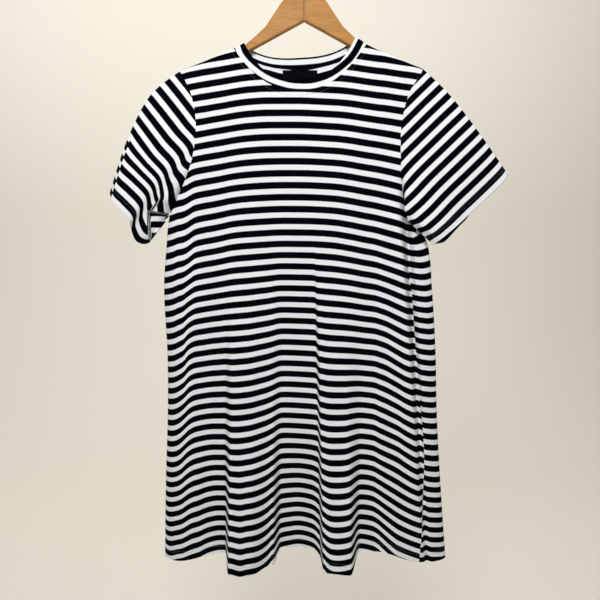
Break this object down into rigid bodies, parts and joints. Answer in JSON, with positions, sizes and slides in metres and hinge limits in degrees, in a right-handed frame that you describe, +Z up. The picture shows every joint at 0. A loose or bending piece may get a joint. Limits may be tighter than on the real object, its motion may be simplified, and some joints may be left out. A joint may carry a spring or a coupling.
{
  "type": "t-shirt dress on a wooden hanger",
  "caption": "Knee-length striped jersey t-shirt dress with short sleeves and a round neckband, hanging in soft folds on a flat wooden hanger with a wire hook.",
  "frame": {"origin": "point inside the crown of the hanger's hook that bears on a rod or peg", "axes": "+Z up, +X to the viewer's right across the front, +Y from the front of the dress to its back"},
  "size_m": [0.667, 0.1059, 1.0364],
  "materials": {
    "jersey": "striped cotton jersey, navy-black and white, matte",
    "neckband": "the same striped jersey folded double, matte",
    "label": "blank black woven label",
    "hanger_wood": "clear satin varnish",
    "hook_steel": "bright plated wire"
  },
  "bodies": {
    "root": {"front": "jersey", "back": "jersey", "sleeve_left": "jersey", "sleeve_right": "jersey", "neckband": "neckband", "label": "label", "hanger_arm_left": "hanger_wood", "hanger_arm_right": "hanger_wood", "hanger_hook": "hook_steel"}
  },
  "joints": []
}
